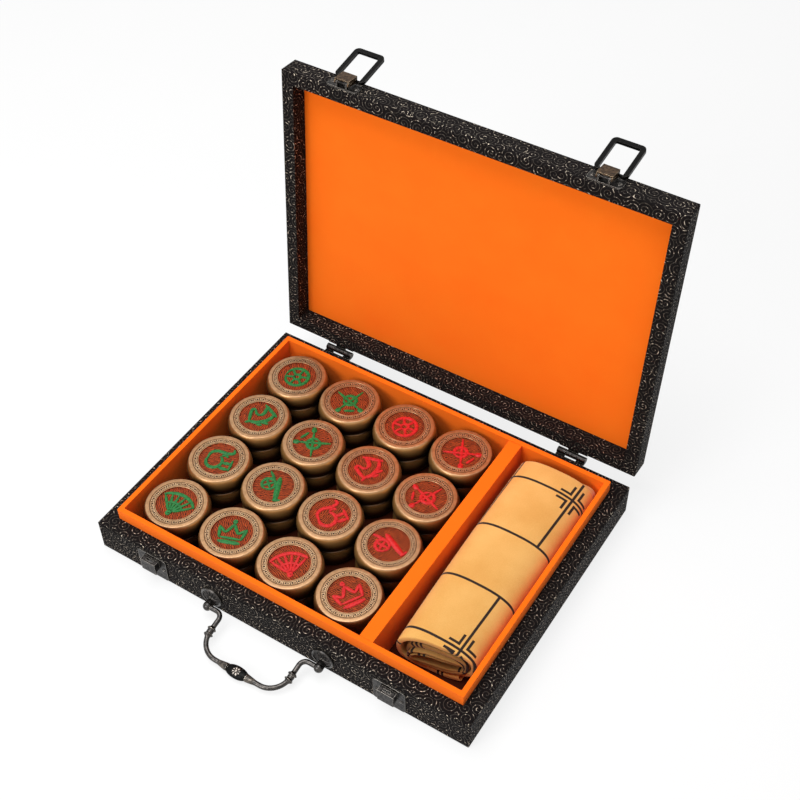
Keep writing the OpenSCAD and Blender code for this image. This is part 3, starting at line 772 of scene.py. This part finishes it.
def sheet_way(depths, roll_front, roll_back, puff):
    """The sheet's way across the roll as (y, depth).

    It goes through the third ply, back fold, outer ply, front fold and second ply.
    The puff swells the front fold inwards, as thick cloth does.
    """
    river_back, puff_len = 77.1, 9.0
    ply_steps, outer_steps, fold_steps = 12, 16, 8
    third_len = SHEET_W / 2 - river_back
    front_r = (depths["second"] - depths["outer"]) / 2
    back_r = (depths["third"] - depths["outer"]) / 2
    outer_back, outer_front = roll_back - back_r, roll_front + front_r
    second_len = SHEET_W - third_len - (outer_back - outer_front) - math.pi * (front_r + back_r)
    fold = [math.pi * i / fold_steps for i in range(1, fold_steps)]
    way = []
    for i in range(ply_steps + 1):
        way.append((outer_back - third_len * (1 - i / ply_steps), depths["third"]))
    for a in fold:
        way.append((outer_back + back_r * math.sin(a), depths["outer"] + back_r * (1 + math.cos(a))))
    for i in range(outer_steps + 1):
        way.append((outer_back + (outer_front - outer_back) * i / outer_steps, depths["outer"]))
    swell_r = front_r + puff / 2
    for a in fold:
        way.append((outer_front - front_r * math.sin(a), depths["outer"] + swell_r * (1 - math.cos(a))))
    for i in range(ply_steps + 1):
        back = second_len * (i / ply_steps) ** 2
        way.append((outer_front + back, depths["second"] + puff * (1 - eased(back, 0, puff_len))))
    return way


def lengths_along(way):
    """The distance gone at each point of a way."""
    gone = [0.0]
    for a, b in zip(way, way[1:]):
        gone.append(gone[-1] + math.hypot(b[0] - a[0], b[1] - a[1]))
    return gone


def sheet_mesh(name, points, flat, columns):
    """A sheet through rows of points, with each point's place on the flat sheet as its UV."""
    faces = [[i + j, i + j + 1, i + columns + j + 1, i + columns + j]
             for i in range(0, len(points) - columns, columns) for j in range(columns - 1)]
    mesh = bpy.data.meshes.new(name)
    mesh.from_pydata([Vector(point) * MM for point in points], [], faces)
    mesh.materials.append(SUEDE)
    layer = mesh.uv_layers.new(name="flat_mm")
    for loop in mesh.loops:
        layer.data[loop.index].uv = flat[loop.vertex_index]
    mesh.shade_smooth()
    return mesh


def dress_board():
    """One sheet, folded in three with its front fold askew, then rolled up slack inside."""
    width, height, pitch, shift_x, sink = spiral_sizes()
    low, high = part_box("board_roll")
    roll_front, roll_back, right_x = low.y / MM, high.y / MM, high.x / MM
    middle_x = (low.x + high.x) / 2 / MM + shift_x
    middle_z = low.z / MM + height / 2 - sink
    ply, inner_pitch, steps = 1.95, 2.15, 72
    first_sag, late_sag, side_squeeze = 2.2, 0.8, 2.6
    slip_back, slip_forward = 2.5, 3.0
    fold_in, fold_swing, fold_puff = 5.0, 4.0, 2.0
    depths = {"outer": SHEET_T / 2, "second": ply / 2, "third": ply - SHEET_T / 2}

    def at(turn, inside):
        """A place of the spiral; from the second turn on it sags from the top and draws in at the sides."""
        shrink = (pitch * min(turn, 360) + inner_pitch * max(turn - 360, 0)) / 360 + inside
        sag = first_sag * eased(turn, 290, 520) + late_sag * eased(turn, 650, 900)
        squeeze = side_squeeze * eased(turn, 290, 450)
        a = math.radians(ROLL_START - turn)
        x = (width / 2 - shrink - squeeze) * fuller(math.cos(a))
        return Vector((x, (height / 2 - shrink - sag) * fuller(math.sin(a)) - sag))

    # The way round the spiral, from the free edge inwards
    rows = [(0.0, 0.0)]
    while rows[-1][1] < SHEET_L:
        turn, gone = rows[-1]
        nxt = turn + 360 / steps
        rows.append((nxt, gone + (at(nxt, depths["outer"]) - at(turn, depths["outer"])).length))
    # The roll is wound a little tighter at the front, its left side drawn in and its print askew
    taper, skew = 0.075, 4.5
    points, flat = [], []
    for turn, gone in rows:
        slip = slip_back * eased(turn, 300, 420) - slip_forward * eased(turn, 480, 700)
        fold_y = roll_front + fold_in + fold_swing * math.cos(math.radians(ROLL_START - turn))
        puff = fold_puff * (1 - eased(turn, 500, 900))
        way = sheet_way(depths, fold_y, roll_back, puff)
        for (y, inside), over in zip(way, lengths_along(sheet_way(depths, fold_y, roll_back, 0.0))):
            spot = at(turn, inside)
            forward = (roll_back - y) / (roll_back - roll_front)
            x = right_x - (right_x - middle_x - spot.x) * (1 - taper * forward ** 2)
            points.append((x, y + slip, middle_z + spot.y))
            flat.append((gone + skew * forward, over))
    mesh = sheet_mesh("rolled_board", points, flat, len(way))
    made = piece("rolled_board", mesh, "board", None, ["board_roll"])
    thick = made.modifiers.new("thickness", "SOLIDIFY")
    thick.thickness = SHEET_T * MM
    thick.offset = 0


# Hardware

def screw_head(shape, matrix):
    """A domed head with a slot: a foot ring and two half domes, its axis along Z."""
    half_slot, steps, sides = 0.17, 8, 24
    foot_low, foot_high, foot_top, foot_ease = -0.3, 0.1, 0.16, 0.08
    dome_low, half_low, reach_share, least_reach = 0.12, 0.05, 0.97, 0.02
    foot = Shape()
    foot.lathe([(0, foot_low), (SCREW_R, foot_low), (SCREW_R, foot_high),
                (SCREW_R - foot_ease, foot_top), (0, foot_top)], sides)
    shape.join(foot.moved(matrix))

    def dome(x, y):
        return dome_low + (SCREW_H - dome_low) * max(0, 1 - (x * x + y * y) / SCREW_R ** 2) ** 0.6

    for side in (-1, 1):
        top, bottom = [], []
        for i in range(steps + 1):
            x = half_slot + (SCREW_R * reach_share - half_slot) * i / steps
            reach = math.sqrt(max(SCREW_R ** 2 - x * x, least_reach))
            line = [reach * (2 * j / steps - 1) for j in range(steps + 1)]
            top.append([(side * x, y, dome(x, y)) for y in line])
            bottom.append([(side * x, y, half_low) for y in line])
        half = Shape()
        half.slab(top, bottom)
        shape.join(half.moved(matrix))


def lid_turn():
    """The turn that opens the lid, in millimetres."""
    hinge = Vector((0, HINGE_Y, HINGE_Z))
    return Matrix.Translation(hinge) @ Matrix.Rotation(-LID_OPEN, 4, "X") @ Matrix.Translation(-hinge)


def dress_screws():
    """Slotted screws of the catches, latch plates and hinge leaves, their slots turned unevenly."""
    toward_front = Matrix.Rotation(math.radians(90), 4, "X")
    toward_back = Matrix.Rotation(math.radians(-90), 4, "X")
    pair_turn, screw_turn = 1.1, 0.7
    sets = {
        "base_screws": (Matrix.Identity(4), CATCH_SCREW_Z, -1, "case"),
        "lid_screws": (lid_turn(), LATCH_SCREW_Z, 1, "lid"),
    }
    for name, (carry, plate_z, up, body) in sets.items():
        shape = Shape()
        leaf_z = HINGE_Z + up * LEAF_SCREW_DROP
        for side in (0, 1):
            for x in (-1, 1):
                slot_turn = Matrix.Rotation(pair_turn * side + screw_turn * x + plate_z, 4, "Z")
                front = Vector((LATCH_X[side] + x * PLATE_SCREW_X, FRONT_Y - PLATE_T, plate_z))
                back = Vector((HINGE_X[side] + x * LEAF_SCREW_X, BACK_Y + LEAF_T, leaf_z))
                screw_head(shape, carry @ Matrix.Translation(front) @ toward_front @ slot_turn)
                screw_head(shape, carry @ Matrix.Translation(back) @ toward_back @ slot_turn)
        piece(f"{name}_slotted", shape.mesh(f"{name}_slotted", [BRONZE]), body, None, [name])


def bail_path(steps):
    """The handle's middle line from one eye to the other, flat in X and depth."""
    end_gap, lead = 0.7, 2
    neck_x = ARM_X + BAIL_NECK_R
    bend_x, bend_depth = ARM_X - BAIL_BEND_R, BAIL_DEPTH - BAIL_BEND_R
    quarter = [math.radians(90 * i / steps) for i in range(steps + 1)]
    half = [(EYE_X - end_gap, 0.0), (neck_x + lead, 0.0)]
    for a in quarter:
        half.append((neck_x - BAIL_NECK_R * math.sin(a), BAIL_NECK_R - BAIL_NECK_R * math.cos(a)))
    for a in quarter:
        half.append((bend_x + BAIL_BEND_R * math.cos(a), bend_depth + BAIL_BEND_R * math.sin(a)))
    return half + [(-x, depth) for x, depth in reversed(half)]


def even_points(path, gap):
    """Points along a line of points, a small even gap apart, with the distance gone."""
    made, left = [], 0.0
    gone = 0.0
    for a, b in zip(path, path[1:]):
        length = math.dist(a, b)
        while left < length:
            share = left / length
            made.append((a[0] + (b[0] - a[0]) * share, a[1] + (b[1] - a[1]) * share, gone + left))
            left += gap
        left -= length
        gone += length
    return made, gone


def bail_radius(gone, total):
    """The rod's radius: double-ringed beads on the arms, and cups that swell toward the middle."""
    bead_at, ring_off, ring_rise, ring_w = 20.2, 1.8, 1.3, 0.9
    waist_rise, waist_w = 0.6, 2.0
    swell_start, swell_end, swell_rise = 7.4, 12.4, 0.9
    from_bead = min(gone, total - gone) - bead_at
    from_middle = abs(gone - total / 2)
    r = ROD_R
    for ring in (-ring_off, ring_off):
        r = max(r, ROD_R + ring_rise * math.exp(-((from_bead - ring) / ring_w) ** 2))
    r = max(r, ROD_R + waist_rise * math.exp(-(from_bead / waist_w) ** 2))
    if swell_start - 1 < from_middle < swell_end:
        share = (swell_end - from_middle) / (swell_end - swell_start)
        r = max(r, ROD_R + swell_rise * min(1, share) ** 0.8)
    return r


def handle_rod(shape):
    """The rod from eye to eye, with fluted cups beside its middle."""
    sides, bend_steps, gap, flutes, flute_share = 20, 14, 0.35, 5, 0.16
    cup_start, cup_end = 7.0, 12.0
    points, total = even_points(bail_path(bend_steps), gap)

    def in_cup(gone):
        return cup_start < abs(gone - total / 2) < cup_end

    rings = []
    for i, (x, depth, gone) in enumerate(points):
        x0, d0, _ = points[max(i - 1, 0)]
        x1, d1, _ = points[min(i + 1, len(points) - 1)]
        along = Vector((x1 - x0, d0 - d1, 0)).normalized()
        side = Vector((-along.y, along.x, 0))
        r = bail_radius(gone, total)
        flute = flute_share if in_cup(gone) else 0.0
        ring = []
        for j in range(sides):
            a = TAU * j / sides
            swell = r * (1 + flute * (math.cos(flutes * a) - 1) / 2)
            rise = Vector((0, 0, swell * math.sin(a)))
            ring.append(Vector((x, -depth, 0)) + side * swell * math.cos(a) + rise)
        rings.append(ring)
    shape.tube(rings, ROD_SLOT, lambda step: CUP_SLOT if in_cup(points[step][2]) else ROD_SLOT)


def handle_boss():
    """The swelled boss in the middle of the handle's bar."""
    half_len, half_deep, half_tall, steps, sides = 8.6, 3.75, 2.3, 24, 28
    turns = [TAU * j / sides for j in range(sides)]
    rings = []
    for i in range(1, steps):
        t = 2 * i / steps - 1
        full = (1 - abs(t) ** 2.2) ** 0.75
        rings.append([(half_len * t, half_deep * full * math.cos(a), half_tall * full * math.sin(a))
                      for a in turns])
    boss = Shape()
    boss.tube(rings, BOSS_SLOT)
    return boss


def add_flower(boss):
    """Petals and a round bead on top of the boss."""
    petals, steps, sides = 8, 10, 10
    start, length, half_w, stretch = 1.0, 1.75, 0.62, 1.25
    top, fall, rise = 2.2, 0.096, 0.55
    bead_r, bead_h, bead_foot, bead_sides = 1.05, 0.9, 1.6, 20
    turns = [TAU * k / sides for k in range(sides)]
    for petal in range(petals):
        a = TAU * (petal + 0.5) / petals
        rings = []
        for i in range(1, steps):
            t = i / steps
            out = start + length * t
            full = half_w * math.sin(math.pi * t) ** 0.6
            x, y, z = stretch * out * math.cos(a), out * math.sin(a), top - fall * out * out
            rings.append([(x - full * math.sin(a) * math.cos(b), y + full * math.cos(a) * math.cos(b),
                           z + rise * full * math.sin(b)) for b in turns])
        boss.tube(rings, FLOWER_SLOT)
    dome = [math.radians(angle) for angle in range(0, 90, 15)]
    profile = [(bead_r * math.cos(a), top + bead_h * math.sin(a)) for a in dome]
    bead = Shape()
    bead.lathe([(0, bead_foot), *profile, (0, top + bead_h)], bead_sides, lambda face: FLOWER_SLOT)
    boss.join(bead)


def dress_handle():
    """The cast drop handle: a beaded rod with a flower boss. Its materials are in slot order."""
    shape = Shape()
    handle_rod(shape)
    boss = handle_boss()
    add_flower(boss)
    shape.join(boss.moved(Matrix.Translation((0, -BAIL_DEPTH, 0))))
    mesh = shape.mesh("cast_handle", [HANDLE, LOOP, FLOWER, CUP], sharp=50)
    spot = placed(FRONT_SHIFT, FRONT_Y - EYE_OUT, EYE_UP, BAIL_DROP, "X")
    piece("cast_handle", mesh, "handle", spot, ["handle_bail"])


def dress_roses():
    """Shell-like flutes inside each round plate's rim, behind the eye."""
    rim, ring_count, sides, flutes = 1.2, 10, 72, 6
    low, rise, foot_z, fullness = 0.1, 0.75, -0.2, 0.7
    inner_r = ROSE_R - rim
    turns = [TAU * j / sides for j in range(sides)]
    for side, x in (("left", -EYE_X), ("right", EYE_X)):
        rows = []
        for i in range(1, ring_count + 1):
            r = inner_r * i / ring_count
            crown = math.sin(math.pi * i / ring_count) ** fullness
            rows.append([(r * math.cos(a), r * math.sin(a),
                          low + rise * abs(math.sin(flutes * a)) ** fullness * crown) for a in turns])
        core = [(r_x, r_y, foot_z) for r_x, r_y, _ in rows[0]]
        foot = [(r_x, r_y, foot_z) for r_x, r_y, _ in rows[-1]]
        shape = Shape()
        shape.tube([core, *rows, foot])
        spot = placed(FRONT_SHIFT + x, FRONT_Y - ROSE_T, EYE_UP + ROSE_UP, math.radians(90), "X")
        piece(f"rose_flutes_{side}", shape.mesh(f"rose_flutes_{side}", [BRONZE]), "case", spot)


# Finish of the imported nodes: how names start, the material, and the width of the rounded edges
FINISHES = (
    (("base_frame", "base_bottom"), BROCADE, 0),
    (("lid_frame", "lid_top"), BROCADE_LID, 0),
    (("tray_frame", "divider", "lid_lining"), LINING, 0.5),
    (("tray_floor",), SHADED_TRAY_FLOOR, 0),
    (("latch_lever",), LEVER, 0.14),
    (("latch_loop",), LOOP, 0.3),
    (("catch", "latch_plate", "hinge_leaf"), BRONZE, 0.14),
    (("handle_mount",), HANDLE, 0),
    (("",), BRONZE, 0),
)


def soften(node, width_mm):
    """Rounds a node's hard edges without changing its mesh."""
    weld = node.modifiers.new("weld", "WELD")
    weld.merge_threshold = 0.002 * MM
    bevel = node.modifiers.new("edges", "BEVEL")
    bevel.width = width_mm * MM
    bevel.segments = 3
    bevel.limit_method = "ANGLE"
    bevel.angle_limit = math.radians(40)
    bevel.use_clamp_overlap = True
    node.modifiers.new("normals", "WEIGHTED_NORMAL")


def finish_node(name):
    """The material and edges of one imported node."""
    node = nodes[name]
    material, width = next((made, edge) for starts, made, edge in FINISHES if name.startswith(starts))
    node.data.materials.clear()
    node.data.materials.append(material)
    if width:
        soften(node, width)


# Camera, light and floor

def add_camera():
    """The photograph's view, solved from the case's corners."""
    azimuth, elevation, roll = math.radians(33.15), math.radians(46.86), math.radians(-0.97)
    place_mm = (290.9, -406.9, 644.9)
    focal_px, image_px, sensor_mm = 1352.72, 800, 36.0
    level = math.cos(elevation)
    back = Vector((math.sin(azimuth) * level, -math.cos(azimuth) * level, math.sin(elevation)))
    right = Vector((math.cos(azimuth), math.sin(azimuth), 0))
    up = back.cross(right)
    across = math.cos(roll) * right + math.sin(roll) * up
    upward = math.cos(roll) * up - math.sin(roll) * right
    data = bpy.data.cameras.new("camera")
    data.sensor_width = sensor_mm
    data.lens = focal_px * sensor_mm / image_px
    data.clip_start, data.clip_end = 0.01, 20
    camera = bpy.data.objects.new("camera", data)
    turn = Matrix((across, upward, back)).transposed().to_4x4()
    camera.matrix_world = Matrix.Translation(Vector(place_mm) * MM) @ turn
    bpy.context.scene.collection.objects.link(camera)
    bpy.context.scene.camera = camera


def add_lamp(name, place, target, size, power):
    data = bpy.data.lights.new(name, "AREA")
    data.shape = "DISK"
    data.size = size
    data.energy = power
    lamp = bpy.data.objects.new(name, data)
    lamp.location = place
    lamp.rotation_mode = "QUATERNION"
    lamp.rotation_quaternion = (Vector(target) - Vector(place)).to_track_quat("-Z", "Y")
    bpy.context.scene.collection.objects.link(lamp)


def seen_directly(tree):
    """One for rays that show the backdrop to the camera, metal or glass; zero for rays that light."""
    path = tree.nodes.new("ShaderNodeLightPath")
    seen = path.outputs["Is Camera Ray"]
    for kind in ("Is Glossy Ray", "Is Transmission Ray"):
        either = tree.nodes.new("ShaderNodeMath")
        either.operation = "MAXIMUM"
        tree.links.new(seen, either.inputs[0])
        tree.links.new(path.outputs[kind], either.inputs[1])
        seen = either.outputs[0]
    return seen


def add_world():
    """A white backdrop that lights the object softly."""
    world = bpy.data.worlds.new("studio")
    bpy.context.scene.world = world
    world.use_nodes = True
    tree = world.node_tree
    shade = tree.nodes["Background"]
    shade.inputs["Color"].default_value = (1, 1, 1, 1)
    strength = tree.nodes.new("ShaderNodeMapRange")
    strength.inputs["To Min"].default_value = 0.28
    strength.inputs["To Max"].default_value = 1.0
    tree.links.new(seen_directly(tree), strength.inputs["Value"])
    tree.links.new(strength.outputs[0], shade.inputs["Strength"])


def add_floor():
    """A pale floor that goes white into the backdrop and keeps a faint shadow."""
    half = 3.0
    mesh = bpy.data.meshes.new("floor")
    level = -0.2 * MM
    corners = [(-half, -half, level), (half, -half, level), (half, half, level), (-half, half, level)]
    mesh.from_pydata(corners, [], [(0, 1, 2, 3)])
    floor = bpy.data.objects.new("floor", mesh)
    bpy.context.scene.collection.objects.link(floor)
    paint = Paint("pale_floor")
    grain = paint.noise(60.0)
    paint.set(Base_Color=paint.mix(grain, srgb(246, 246, 246), srgb(250, 250, 250)), Roughness=0.9)
    paint.set(Specular_IOR_Level=0.1)
    glow = paint.node("Emission", {"Color": (1, 1, 1, 1), "Strength": 1.0})
    share = paint.times(seen_directly(paint.tree), 0.8)
    blend = paint.node("MixShader", {0: share})
    paint.tree.links.new(paint.shader.outputs[0], blend.inputs[1])
    paint.tree.links.new(glow.outputs[0], blend.inputs[2])
    paint.tree.links.new(blend.outputs[0], paint.tree.nodes["Material Output"].inputs["Surface"])
    mesh.materials.append(paint.material)


for node_name in nodes:
    finish_node(node_name)
dress_playing_pieces()
dress_board()
dress_screws()
dress_handle()
dress_roses()
add_camera()
add_world()
add_floor()
add_lamp("top_softbox", place=(-0.2, -0.1, 1.25), target=(0, 0, 0.02), size=1.1, power=12.8)
add_lamp("front_softbox", place=(-0.35, -1.15, 0.75), target=(0, 0.03, 0.12), size=0.8, power=9.0)
bpy.context.scene.view_settings.view_transform = "Standard"
